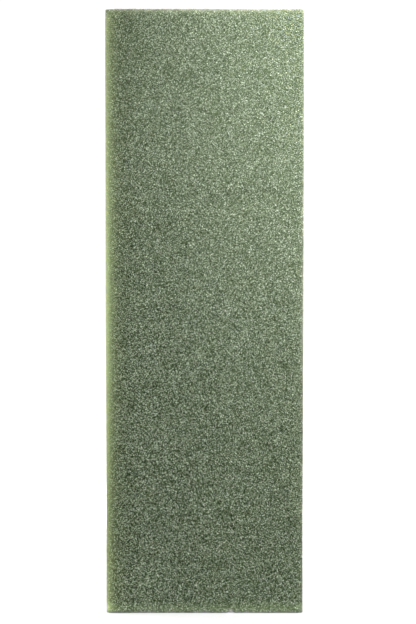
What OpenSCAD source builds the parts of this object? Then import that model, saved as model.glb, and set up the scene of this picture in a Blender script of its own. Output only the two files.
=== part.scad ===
// Dry floral foam brick: one saw-cut block of rigid open-celled foam.
// It stands on one of its two small ends. +X is to its right, the narrow face that is
// shown points to -Y, and the origin is the middle of the end that it stands on.

/* [Brick] */
// Length of the brick, from the end it stands on to the other end
brick_length = 226; // [150:1:320]
// Width of the narrow face, which points to the front
brick_width = 74; // [50:1:130]
// Depth of the brick from the front face to the back face
brick_depth = 99; // [50:1:150]

/* [Worn edges] */
// How far the four long edges have crumbled back, measured along each face
long_edge_break = 0.5; // [0.2:0.1:1]
// How far the edges round the two ends have crumbled back, measured along each face
end_edge_break = 0.7; // [0.3:0.1:1.2]
// How far the eight corners have crumbled back, measured along each edge
corner_break = 2.2; // [2:0.1:4]

/* [Hidden] */

foam_green = [0.47, 0.53, 0.42];

// Side of the cube that takes off a corner: it reaches well past the crumbled triangle
corner_cube = 3 * corner_break;
// Distance from the sharp corner to the plane that crosses its edges at corner_break
corner_plane = corner_break / sqrt(3);

// Rectangle centred on the origin with each corner cut off at 45 degrees
module broken_rectangle(width, height, cut) {
    x = width / 2;
    y = height / 2;
    polygon([
        [x, y - cut], [x - cut, y], [cut - x, y], [-x, y - cut],
        [-x, cut - y], [cut - x, -y], [x - cut, -y], [x, cut - y]
    ]);
}

// The block as the saws leave it, with its twelve edges broken
module sawn_block() {
    middle = brick_length / 2;
    intersection() {
        linear_extrude(brick_length)
            broken_rectangle(brick_width, brick_depth, long_edge_break);
        translate([0, brick_depth / 2, middle])
            rotate([90, 0, 0])
                linear_extrude(brick_depth)
                    broken_rectangle(brick_width, brick_length, end_edge_break);
        translate([-brick_width / 2, 0, middle])
            rotate([90, 0, 90])
                linear_extrude(brick_width)
                    broken_rectangle(brick_depth, brick_length, end_edge_break);
    }
}

// The piece missing at one corner; right, back and up are -1 or 1
module missing_corner(right, back, up) {
    translate([right * brick_width / 2, back * brick_depth / 2, brick_length * (1 + up) / 2])
        rotate([0, acos(up / sqrt(3)), atan2(back, right)])
            translate([-corner_cube / 2, -corner_cube / 2, -corner_plane])
                cube(corner_cube);
}

module foam_brick() {
    color(foam_green)
        difference() {
            sawn_block();
            for (right = [-1, 1], back = [-1, 1], up = [-1, 1])
                missing_corner(right, back, up);
        }
}

foam_brick();
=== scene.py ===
"""A dry floral foam brick standing on end in a plain white studio."""

import math

import bmesh
import bpy
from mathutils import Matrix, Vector, noise


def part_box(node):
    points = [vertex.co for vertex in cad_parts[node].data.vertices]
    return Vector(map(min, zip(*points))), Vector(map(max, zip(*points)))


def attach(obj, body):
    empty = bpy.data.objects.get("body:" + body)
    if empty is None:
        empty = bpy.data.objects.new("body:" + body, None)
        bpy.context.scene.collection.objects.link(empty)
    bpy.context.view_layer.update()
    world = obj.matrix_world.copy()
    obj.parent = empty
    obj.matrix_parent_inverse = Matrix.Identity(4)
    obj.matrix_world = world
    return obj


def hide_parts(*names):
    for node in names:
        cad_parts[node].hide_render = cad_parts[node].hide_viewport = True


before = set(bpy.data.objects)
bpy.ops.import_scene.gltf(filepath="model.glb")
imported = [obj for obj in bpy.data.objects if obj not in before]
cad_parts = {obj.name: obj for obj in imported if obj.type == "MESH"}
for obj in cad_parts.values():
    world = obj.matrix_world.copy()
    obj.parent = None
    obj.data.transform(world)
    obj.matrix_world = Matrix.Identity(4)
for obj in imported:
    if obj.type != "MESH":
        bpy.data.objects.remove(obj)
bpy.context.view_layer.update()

MM = 0.001
LOW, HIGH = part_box("foam_brick")
CENTRE = (LOW + HIGH) / 2
SIZE = HIGH - LOW

# How many squares the block is gridded into along x, y and z, in one or two steps, so
# that they are about 1.85 mm wide. Each row along an edge is then halved three times.
SQUARES = ([40], [54], [11, 11])
SQUARE = 1.85 * MM
HALVINGS = 3

# The small nick in the front face's bottom edge, and the front corner that is worn most
NICK = Vector((9.8 * MM, LOW.y, LOW.z))
TOP_LEFT = Vector((LOW.x, LOW.y, HIGH.z))


# ---------------------------------------------------------------- modelling

def deselect_everything():
    if bpy.context.object and bpy.context.object.mode != "OBJECT":
        bpy.ops.object.mode_set(mode="OBJECT")
    bpy.ops.object.select_all(action="DESELECT")


def add_plain_block(name):
    """The block between the CAD brick's two corners, with six plain faces."""
    deselect_everything()
    bpy.ops.mesh.primitive_cube_add(size=1, location=CENTRE, calc_uvs=False)
    block = bpy.context.object
    block.name = name
    block.data.name = name
    block.scale = SIZE
    bpy.ops.object.transform_apply(location=True, rotation=True, scale=True)
    return block


def select_in(block, kind, wanted):
    """In edit mode, selects the edges or faces that wanted() picks."""
    modes = {"edges": "EDGE", "faces": "FACE"}
    bpy.ops.mesh.select_mode(type=modes[kind])
    bpy.ops.mesh.select_all(action="DESELECT")
    shape = bmesh.from_edit_mesh(block.data)
    for item in getattr(shape, kind):
        if wanted(item):
            item.select_set(True)
    bmesh.update_edit_mesh(block.data)


def runs_along(axis):
    """Picks the edges that run along an axis."""
    def wanted(edge):
        run = edge.verts[1].co - edge.verts[0].co
        return abs(run[axis]) > 0.9 * run.length
    return wanted


def depths(place):
    """How deep a place lies under each pair of faces, the smallest first."""
    return sorted(SIZE[i] / 2 - abs(place[i] - CENTRE[i]) for i in range(3))


def from_edge(place):
    """How far a place on the surface is from the nearest edge."""
    return depths(place)[1]


def from_corner(place):
    """About how far a place on the surface is from the nearest corner."""
    return depths(place)[2]


def beside_edge(reach):
    """Picks the faces whose middles are nearer than that to an edge."""
    return lambda face: from_edge(face.calc_center_median()) < reach


def grid_faces(block):
    """Cuts the six faces into small squares, with finer ones along the edges."""
    bpy.ops.object.mode_set(mode="EDIT")
    for axis, steps in enumerate(SQUARES):
        for count in steps:
            select_in(block, "edges", runs_along(axis))
            bpy.ops.mesh.subdivide(number_cuts=count - 1)
    for halving in range(HALVINGS):
        # The middles of the row along an edge are half a square in, the next row's 1.5
        square = SQUARE / 2 ** halving
        select_in(block, "faces", beside_edge(0.95 * square))
        bpy.ops.mesh.subdivide(number_cuts=1)
    bpy.ops.object.mode_set(mode="OBJECT")


def unfold(block):
    """Lays the six faces side by side on the block's map, stretched to fill it."""
    gap = 3 * MM
    wide = 2 * (SIZE.x + SIZE.y) + 5 * gap
    high = SIZE.z + SIZE.x + 3 * gap
    front = gap
    right = front + SIZE.x + gap
    back = right + SIZE.y + gap
    left = back + SIZE.x + gap
    ends = SIZE.z + 2 * gap

    # Where each face starts, by the axis that it faces along and which way
    starts = {
        (1, -1): (front, gap),
        (0, 1): (right, gap),
        (1, 1): (back, gap),
        (0, -1): (left, gap),
        (2, 1): (front, ends),
        (2, -1): (back, ends),
    }
    layer = block.data.uv_layers.new(name="OFBake")
    for face in block.data.polygons:
        axis = max(range(3), key=lambda i: abs(face.normal[i]))
        side = 1 if face.normal[axis] > 0 else -1
        across, up = {0: (1, 2), 1: (0, 2), 2: (1, 0)}[axis]
        turned = side == (-1 if axis == 0 else 1)
        start = starts[(axis, side)]
        for loop in face.loop_indices:
            place = block.data.vertices[block.data.loops[loop].vertex_index].co
            run = place[across] - LOW[across]
            if turned:
                run = SIZE[across] - run
            layer.data[loop].uv = (
                (start[0] + run) / wide,
                (start[1] + place[up] - LOW[up]) / high)


def weigh(block, name, weight):
    """A vertex group whose weights come from each vertex's place."""
    group = block.vertex_groups.new(name=name)
    for vertex in block.data.vertices:
        share = weight(vertex.co)
        if share > 0:
            group.add([vertex.index], min(share, 1), "REPLACE")
    return group.name


def apply_modifier(block, name):
    """Makes a modifier's change part of the block's mesh, and takes the modifier off."""
    bpy.context.view_layer.objects.active = block
    bpy.ops.object.modifier_apply(modifier=name)


def sink(block, name, grain, depth, stretch=(1, 1, 1), group="", **settings):
    """Sinks the surface by up to depth, in a cloudy pattern of the given grain."""
    pattern = bpy.data.textures.new(name, "CLOUDS")
    pattern.noise_scale = grain
    for key, value in settings.items():
        setattr(pattern, key, value)
    guide = bpy.data.objects.new(name + "_guide", None)
    guide.scale = stretch
    bpy.context.scene.collection.objects.link(guide)
    bpy.context.view_layer.update()
    push = block.modifiers.new(name, "DISPLACE")
    push.texture = pattern
    push.texture_coords = "OBJECT"
    push.texture_coords_object = guide
    push.strength = -depth
    push.mid_level = 0
    push.vertex_group = group
    apply_modifier(block, name)
    bpy.data.objects.remove(guide)


def wear(block, name, rounds, weight):
    """Rubs the edges down in a number of rounds where the weight is high, never outwards."""
    rub = block.modifiers.new(name, "SMOOTH")
    rub.vertex_group = weigh(block, name, weight)
    rub.factor = 0.5
    rub.iterations = rounds
    apply_modifier(block, name)


def fading(peak, distance, reach):
    """A weight that starts at peak and falls by 1 over each reach of the distance."""
    return peak - distance / reach


def lumps(place, grain):
    """Cloudy randomness, mostly between -0.5 and 0.5, with lumps of about the grain."""
    return noise.noise(place / grain)


def model_brick():
    """The brick: a finely gridded block, worn by handling and marked by the saw."""
    brick = add_plain_block("sawn_brick")
    grid_faces(brick)
    unfold(brick)

    # Wear from handling: the corners, the edges, the nick, then chips and single crumbs
    wear(brick, "worn_corners", 60, lambda co: fading(1.6, from_corner(co), 1.0 * MM))
    wear(brick, "top_left_corner", 400, lambda co: fading(1.8, (co - TOP_LEFT).length, 2.0 * MM))
    wear(brick, "worn_edges", 3, lambda co: fading(1.5, from_edge(co), 0.5 * MM))
    wear(brick, "bottom_nick", 150, lambda co: fading(1.7, (co - NICK).length, 1.0 * MM))
    wear(brick, "chips", 14, lambda co: 5 * lumps(co, 5 * MM) - 1.6)
    wear(brick, "crumbs", 5, lambda co: 2.5 * lumps(co, 0.9 * MM))

    # Cut cells show on the rim, and the saw leaves a slow wander and a fine level ripple
    rim = weigh(brick, "rim", lambda co: fading(2, from_edge(co), 0.6 * MM))
    sink(brick, "cut_cells", grain=0.7 * MM, depth=0.10 * MM, group=rim, noise_depth=1)
    sink(brick, "saw_wander", grain=45 * MM, depth=0.10 * MM)
    sink(brick, "saw_ripple", grain=3.0 * MM, depth=0.07 * MM, stretch=(16, 16, 1))

    deselect_everything()
    brick.select_set(True)
    bpy.context.view_layer.objects.active = brick
    bpy.ops.object.shade_smooth()
    brick.vertex_groups.clear()
    return brick


# ---------------------------------------------------------------- material maths

class Value:
    """One output of a shader node. Arithmetic on it adds Math nodes."""

    def __init__(self, recipe, socket):
        self.recipe = recipe
        self.socket = socket

    def math(self, operation, *others):
        return self.recipe.node("ShaderNodeMath", {"operation": operation}, [self, *others])

    def __add__(self, other):
        return self.math("ADD", other)

    def __sub__(self, other):
        return self.math("SUBTRACT", other)

    def __mul__(self, other):
        return self.math("MULTIPLY", other)

    def __truediv__(self, other):
        return self.math("DIVIDE", other)

    def __rsub__(self, other):
        return (self * -1) + other

    __radd__ = __add__
    __rmul__ = __mul__

    def size(self):
        return self.math("ABSOLUTE")

    def exponent(self):
        return self.math("EXPONENT")

    def above(self, other):
        return self.math("MAXIMUM", other)

    def below(self, other):
        return self.math("MINIMUM", other)

    def fade(self, start, end, low=0.0, high=1.0):
        """low up to start, high from end on, and smooth between."""
        return self.recipe.node(
            "ShaderNodeMapRange", {"interpolation_type": "SMOOTHSTEP"},
            {"Value": self, "From Min": start, "From Max": end, "To Min": low, "To Max": high})

    def bell(self):
        """1 where the value is 0, and falling away smoothly on both sides."""
        return (self * self * -1).exponent()


class Recipe:
    """A material's node tree, built by calls that each add one node."""

    def __init__(self, name):
        self.material = bpy.data.materials.new(name)
        self.material.use_nodes = True
        self.tree = self.material.node_tree
        self.tree.nodes.clear()

    def node(self, kind, settings=None, sockets=None, output=0):
        """Adds a node, with its settings first, and gives one of its outputs."""
        made = self.tree.nodes.new(kind)
        for key, value in (settings or {}).items():
            if key == "stops":
                self.fill_ramp(made.color_ramp, value)
            else:
                setattr(made, key, value)
        pairs = sockets.items() if isinstance(sockets, dict) else enumerate(sockets or [])
        for key, value in pairs:
            if isinstance(value, Value):
                self.tree.links.new(value.socket, made.inputs[key])
            else:
                made.inputs[key].default_value = value
        return Value(self, made.outputs[output]) if len(made.outputs) else made

    @staticmethod
    def fill_ramp(ramp, stops):
        while len(ramp.elements) < len(stops):
            ramp.elements.new(0.5)
        for element, (place, colour) in zip(ramp.elements, stops):
            element.position = place
            element.color = (*colour, 1)

    def mix(self, share, first, second, blend="MIX"):
        """A colour between two colours."""
        colours = [c if isinstance(c, Value) else (*c, 1) for c in (first, second)]
        return self.node(
            "ShaderNodeMix", {"data_type": "RGBA", "blend_type": blend, "clamp_factor": True},
            {0: share, 6: colours[0], 7: colours[1]}, output=2)

    def scaled(self, colour, factor):
        """A colour made paler or darker by a factor."""
        return self.node("ShaderNodeVectorMath", {"operation": "SCALE"},
                         {"Vector": colour, "Scale": factor})

    def place(self):
        return self.node("ShaderNodeTexCoord", output="Object")

    def parts(self, vector):
        """The three numbers of a vector or colour."""
        split = self.node("ShaderNodeSeparateXYZ", sockets=[vector]).socket.node
        return [Value(self, socket) for socket in split.outputs]

    def joined(self, x, y, z):
        return self.node("ShaderNodeCombineXYZ", sockets=[x, y, z])

    def noise(self, place, grain, detail=2.0, roughness=0.5):
        """Soft random noise from 0 to 1 with lumps of about the grain's size."""
        return self.node("ShaderNodeTexNoise", {},
                         {"Vector": place, "Scale": 1 / grain, "Detail": detail, "Roughness": roughness})

    def cells(self, place, grain, output):
        """Random closed cells of about the grain's size."""
        return self.node("ShaderNodeTexVoronoi", {},
                         {"Vector": place, "Scale": 1 / grain}, output=output)

    def finish(self, surface):
        self.node("ShaderNodeOutputMaterial", sockets={"Surface": surface})
        return self.material


# ---------------------------------------------------------------- the foam

# Its colours, as linear red, green and blue
# The darkest cells and flecks: painted shade in the pits
PIT_SHADE_GREEN = (0.015, 0.026, 0.010)
FOAM_GREEN = (0.126, 0.171, 0.089)
# The palest cells and flecks: painted glints
GLINT_FLECK_GREEN = (0.770, 0.890, 0.675)
# Painted glow of light seeping through the thin edge cells
SEEP_GLOW_GREEN = (0.650, 0.800, 0.410)
# Crumbled foam's paler grey, and a painted highlight along the edges
CRUMB_AND_HIGHLIGHT_GREY = (0.540, 0.510, 0.530)
# Painted tint of the light seeping in at the front's left edge
OLIVE_GLOW_TINT = (1.000, 1.010, 0.780)

# The sizes of a cut cell, a fleck, the soft mottling, the crumbs and the saw streaks
CELL = 0.23 * MM
FLECK = 0.30 * MM
MOTTLE = 7 * MM
CRUMB = 2.5 * MM
STREAK = 2.5 * MM

# How much a cell's own tone, a painted pale glint, a painted dark shade and the mottling change the grain
TONE_SHARE = 0.85
PALE_SHARE = 0.60
DARK_SHARE = 0.40
MOTTLE_SHARE = 0.06

# The grain's contrast and paleness at the foot and at the top, and its contrast at the
# left and at the right. A painted sheen makes the grain flatter and paler towards the top
# and flatter towards the right.
CONTRAST_UP = (1.24, 0.72)
PALENESS_UP = (0.36, 0.44)
CONTRAST_ACROSS = (1.06, 0.83)

# How wide the rim is that is thin enough to glow fully with painted seeping light, and how
# quickly the glow fades beyond it, along all the edges and along the front's left edge
THIN_RIM = 0.9 * MM
GLOW_REACH = 1.4 * MM
LEFT_GLOW_REACH = 1.5 * MM

# How quickly the painted olive tint of the seeping light fades inwards from the front's left edge
TINT_REACH = 4 * MM

# The brick's overall tone at the foot and at the top
TONE_UP = (1.13, 1.16)

# Faint slanting lines across the front face, where the saw paused: the middle and the
# height in millimetres, how far they reach to each side, and how much paler they are,
# or darker where that is below 0
SAW_LINES = (
    (14.5, 158.4, 15, -0.20),
    (21.5, 175.8, 10, -0.13),
    (18.0, 190.5, 13, -0.10),
    (31.0, 95.5, 6, -0.13),
    (-15.0, 118.0, 14, 0.10),
)
SAW_LINE_WIDTH = 1.1 * MM
SAW_LINE_SLANT = 0.14


class Spot:
    """Where a point of the brick's surface lies, in metres or as shares from 0 to 1."""

    def __init__(self, foam):
        self.place = foam.place()
        self.x, self.y, self.z = foam.parts(self.place)
        self.from_left = self.x - LOW.x

        # The middle one of the three depths is the distance from the nearest edge
        deep_x = SIZE.x / 2 - (self.x - CENTRE.x).size()
        deep_y = SIZE.y / 2 - (self.y - CENTRE.y).size()
        deep_z = SIZE.z / 2 - (self.z - CENTRE.z).size()
        self.from_edge = deep_x.below(deep_y).above(deep_x.above(deep_y).below(deep_z))

        self.on_front = self.y.fade(LOW.y + 0.3 * MM, LOW.y + 0.9 * MM, 1, 0)
        self.near_bottom = self.z.fade(LOW.z + 5 * MM, LOW.z + 10 * MM, 1, 0)
        self.near_top = self.z.fade(HIGH.z - 6 * MM, HIGH.z - 3 * MM)
        right = self.x.fade(HIGH.x - 6 * MM, HIGH.x - 2 * MM)
        self.near_right = right * self.z.fade(100 * MM, 180 * MM, 0.3, 1)


def cut_cells(foam, spot, tone):
    """Each cell's own tone, with pale flecks as painted glints and dark flecks as painted shade in pits.
    """
    chance = foam.parts(foam.cells(spot.place, FLECK, "Color"))[1]
    pale = chance.fade(0.93, 0.97)
    dark = chance.fade(0.02, 0.06, 1, 0)
    mottle = foam.noise(spot.place, MOTTLE, detail=3.0, roughness=0.6)
    # Painted sheen: flatter towards the top and the right; also flatter at the very foot
    contrast = spot.z.fade(LOW.z, HIGH.z, *CONTRAST_UP) * spot.z.fade(2 * MM, 6 * MM, 0.7, 1)
    contrast = contrast * spot.x.fade(LOW.x, HIGH.x, *CONTRAST_ACROSS)
    fleck = pale * PALE_SHARE - dark * DARK_SHARE
    grain = ((tone - 0.5) * TONE_SHARE + fleck) * contrast
    # Painted sheen: paler towards the top
    grain = grain + (mottle - 0.5) * MOTTLE_SHARE + spot.z.fade(LOW.z, HIGH.z, *PALENESS_UP)
    return foam.node("ShaderNodeValToRGB", {"stops": [
        (0.0, PIT_SHADE_GREEN), (0.5, FOAM_GREEN), (1.0, GLINT_FLECK_GREEN)]}, [grain])


def painted_edge_glow(foam, spot, colour):
    """Cut cells along an edge let light seep through them; that glow is painted into the colour."""
    # More painted glow along the front's top edge, less along its right
    seep = 0.05 + spot.on_front * (spot.near_top * 0.07 - spot.near_right * 0.05)
    glow = ((THIN_RIM - spot.from_edge).below(0) / GLOW_REACH).exponent()
    return foam.mix(glow * seep, colour, SEEP_GLOW_GREEN)


def painted_left_glow(foam, spot, colour):
    """The front's left edge lets through the most light, above all at half height: a painted glow and
    tint.
    """
    from_middle = (spot.z - 110 * MM) / (55 * MM)
    seep = 0.40 + from_middle.bell() * 0.34
    glow = ((THIN_RIM - spot.from_left).below(0) / LEFT_GLOW_REACH).exponent()
    tint = (spot.from_left / -TINT_REACH).exponent()
    colour = foam.mix(tint * spot.on_front, colour, OLIVE_GLOW_TINT, "MULTIPLY")
    return foam.mix(glow * seep * spot.on_front, colour, SEEP_GLOW_GREEN)


def crumbled_and_lit_rim(foam, spot, colour):
    """Crumbled foam along the edges is paler and greyer, in patches, with a painted highlight on the rim.
    """
    patchy = foam.noise(spot.place, CRUMB).fade(0.35, 0.65, 0.5, 1.15)
    # Painted highlight: stronger along the front's top and bottom edges, much weaker along its right
    front_rim = 0.56 + spot.near_top * 0.22 + spot.near_bottom * 0.35 - spot.near_right * 0.70
    rim = (0.40 + spot.on_front * front_rim) * patchy
    reach = -0.44 * MM + spot.near_bottom * (0.12 * MM)
    return foam.mix((spot.from_edge / reach).exponent() * rim, colour, CRUMB_AND_HIGHLIGHT_GREY)


def pale_nick(foam, spot, colour):
    """The nick's crumbled foam is paler and greyer too."""
    across = (spot.x - NICK.x) / (0.75 * MM)
    up = (spot.z - 0.5 * MM) / (0.85 * MM)
    nicked = ((across * across + up * up) * -1).exponent() * spot.on_front
    return foam.mix(nicked * 0.8, colour, CRUMB_AND_HIGHLIGHT_GREY)


def painted_light_and_saw_tone(foam, spot):
    """Broad tone: a painted lit foot, painted shade and reflection bands, and the saw's streaks and lines.
    """
    x, y, z = spot.x, spot.y, spot.z
    # Painted light from below: the foot is paler, above all in a thin band along the front's bottom edge
    foot = (
        (z / (-16 * MM)).exponent() * 0.30
        + z.fade(1.8 * MM, 5.2 * MM, 1.15, 0.0) * z.fade(0.3 * MM, 1.8 * MM) * spot.on_front)
    # Painted shade: a band left of the middle, and a strip along the left edge, most near the top
    left_band = (
        x.fade(-9.5 * MM, -6.0 * MM, -0.03, 0.0) * z.fade(60 * MM, 150 * MM)
        + x.fade(-29 * MM, -24 * MM, -0.09, 0.0) * z.fade(160 * MM, 215 * MM, 1.0, 1.8))
    # Painted reflection of the key light: paler towards the right
    right_side = x.fade(-10 * MM, 14 * MM, 0.0, 0.10)
    level = z + x * x * 1.2
    streaks = foam.noise(foam.joined(x / 40, y / 40, level), STREAK)
    tone = z.fade(LOW.z, HIGH.z, *TONE_UP) + left_band + right_side + foot
    tone = tone + (streaks - 0.5) * (0.12 + foot)
    for middle, height, half, paler in SAW_LINES:
        along = (x - middle * MM) / (half * MM)
        bow = along * (along - 1) * (SAW_LINE_SLANT * half * MM)
        across = (z - height * MM + bow) / SAW_LINE_WIDTH
        line = across.bell() * along.size().fade(0.6, 1.1, 1, 0)
        tone = tone + line * spot.on_front * paler
    return tone


def foam_material():
    """Dull green foam with a sawn, open-celled surface."""
    foam = Recipe("green_foam")
    spot = Spot(foam)
    tone = foam.parts(foam.cells(spot.place, CELL, "Color"))[0]
    pit = foam.cells(spot.place, CELL, "Distance")

    colour = cut_cells(foam, spot, tone)
    colour = painted_edge_glow(foam, spot, colour)
    colour = painted_left_glow(foam, spot, colour)
    colour = crumbled_and_lit_rim(foam, spot, colour)
    colour = pale_nick(foam, spot, colour)
    colour = foam.scaled(colour, painted_light_and_saw_tone(foam, spot))

    height = tone * 0.7 - pit * 0.8
    bump = foam.node("ShaderNodeBump", {}, {"Strength": 1.0, "Distance": 0.15 * MM, "Height": height})
    skin = foam.node("ShaderNodeBsdfPrincipled", {}, {
        "Base Color": colour,
        "Roughness": 0.93 + (tone - 0.5) * 0.13,
        "Specular IOR Level": 0.02,
        "Subsurface Weight": 0.6,
        "Subsurface Radius": (1.1, 1.0, 0.55),
        "Subsurface Scale": 3.0 * MM,
        "Normal": bump,
    })
    return foam.finish(skin)


# ---------------------------------------------------------------- the studio

WHITE = (1, 1, 1, 1)

# The key light is a little pinker than the white surround
LAMP_TINT = (1.04, 1.0, 1.10)

# The camera's distance, its tilt in degrees, its lens, and how far right of the brick's
# middle and above it the camera aims
AWAY = 0.8
TILT = 3.2
LENS = 123.8
AIM_RIGHT = 1.27 * MM
AIM_UP = 0.45 * MM


def floor_material(grey, shown):
    """A pale surface that the camera sees brighter than the light it throws back."""
    paper = Recipe("white_floor")
    matt = paper.node("ShaderNodeBsdfDiffuse", {}, {"Color": (grey, grey, grey, 1)})
    light = paper.node("ShaderNodeEmission", {}, {"Color": WHITE, "Strength": shown})
    seen = paper.node("ShaderNodeLightPath", output="Is Camera Ray")
    both = paper.node("ShaderNodeAddShader", {}, [matt, light])
    return paper.finish(paper.node("ShaderNodeMixShader", {}, [seen, matt, both]))


def set_floor():
    deselect_everything()
    bpy.ops.mesh.primitive_plane_add(size=12, location=(0, 0, 0))
    floor = bpy.context.object
    floor.name = "studio_floor"
    floor.data.materials.append(floor_material(grey=0.85, shown=0.55))


def set_world(ambient, backdrop):
    """Even white light from all round, and a brighter white backdrop for the camera."""
    world = bpy.data.worlds.new("white_studio")
    bpy.context.scene.world = world
    world.use_nodes = True
    tree = world.node_tree
    sky = tree.nodes["Background"]
    shown = tree.nodes.new("ShaderNodeBackground")
    for node, strength in ((sky, ambient), (shown, backdrop)):
        node.inputs["Color"].default_value = WHITE
        node.inputs["Strength"].default_value = strength
    path = tree.nodes.new("ShaderNodeLightPath")
    mix = tree.nodes.new("ShaderNodeMixShader")
    tree.links.new(path.outputs["Is Camera Ray"], mix.inputs[0])
    tree.links.new(sky.outputs[0], mix.inputs[1])
    tree.links.new(shown.outputs[0], mix.inputs[2])
    tree.links.new(mix.outputs[0], tree.nodes["World Output"].inputs["Surface"])


def hang_light(data, place, towards, power):
    """Hangs a light at a place, turned towards a point and out of the camera's sight."""
    data.energy = power
    lamp = bpy.data.objects.new(data.name, data)
    lamp.location = place
    lamp.rotation_euler = (Vector(towards) - Vector(place)).to_track_quat("-Z", "Y").to_euler()
    lamp.visible_camera = False
    bpy.context.scene.collection.objects.link(lamp)


def add_softbox(name, place, towards, size, power):
    """A round, evenly lit panel."""
    data = bpy.data.lights.new(name, "AREA")
    data.shape = "DISK"
    data.size = size
    hang_light(data, place, towards, power)


def add_spotlight(name, place, towards, angle, size, power):
    """A soft-edged beam, which fades from its middle out to its angle."""
    data = bpy.data.lights.new(name, "SPOT")
    data.spot_size = math.radians(angle)
    data.spot_blend = 1
    data.shadow_soft_size = size
    data.color = LAMP_TINT
    hang_light(data, place, towards, power)


def light_studio():
    set_world(ambient=0.56, backdrop=1.1)
    add_spotlight("key_upper_right", (0.39, -0.41, 0.60), (0.22, 0, 0.32), angle=51.6, size=0.05, power=93)
    add_softbox("strip_left", (-0.30, 0.06, 0.16), (-0.03, 0, 0.12), size=0.16, power=0.6)
    add_softbox("top_light", (0.0, 0.1, 0.6), (0, 0, 0.22), size=0.25, power=0.4)


def set_camera():
    """Straight at the front face, from a little above its middle."""
    data = bpy.data.cameras.new("camera")
    data.lens = LENS
    camera = bpy.data.objects.new("camera", data)
    tilt = math.radians(TILT)
    aim = Vector((AIM_RIGHT, LOW.y, CENTRE.z + AIM_UP))
    camera.location = aim + Vector((0, -AWAY * math.cos(tilt), AWAY * math.sin(tilt)))
    camera.rotation_euler = (math.pi / 2 - tilt, 0, 0)
    bpy.context.scene.collection.objects.link(camera)
    bpy.context.scene.camera = camera


bpy.context.scene.view_settings.view_transform = "Standard"
set_camera()
set_floor()
light_studio()

brick = model_brick()
brick.data.materials.append(foam_material())
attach(brick, "root")
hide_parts("foam_brick")
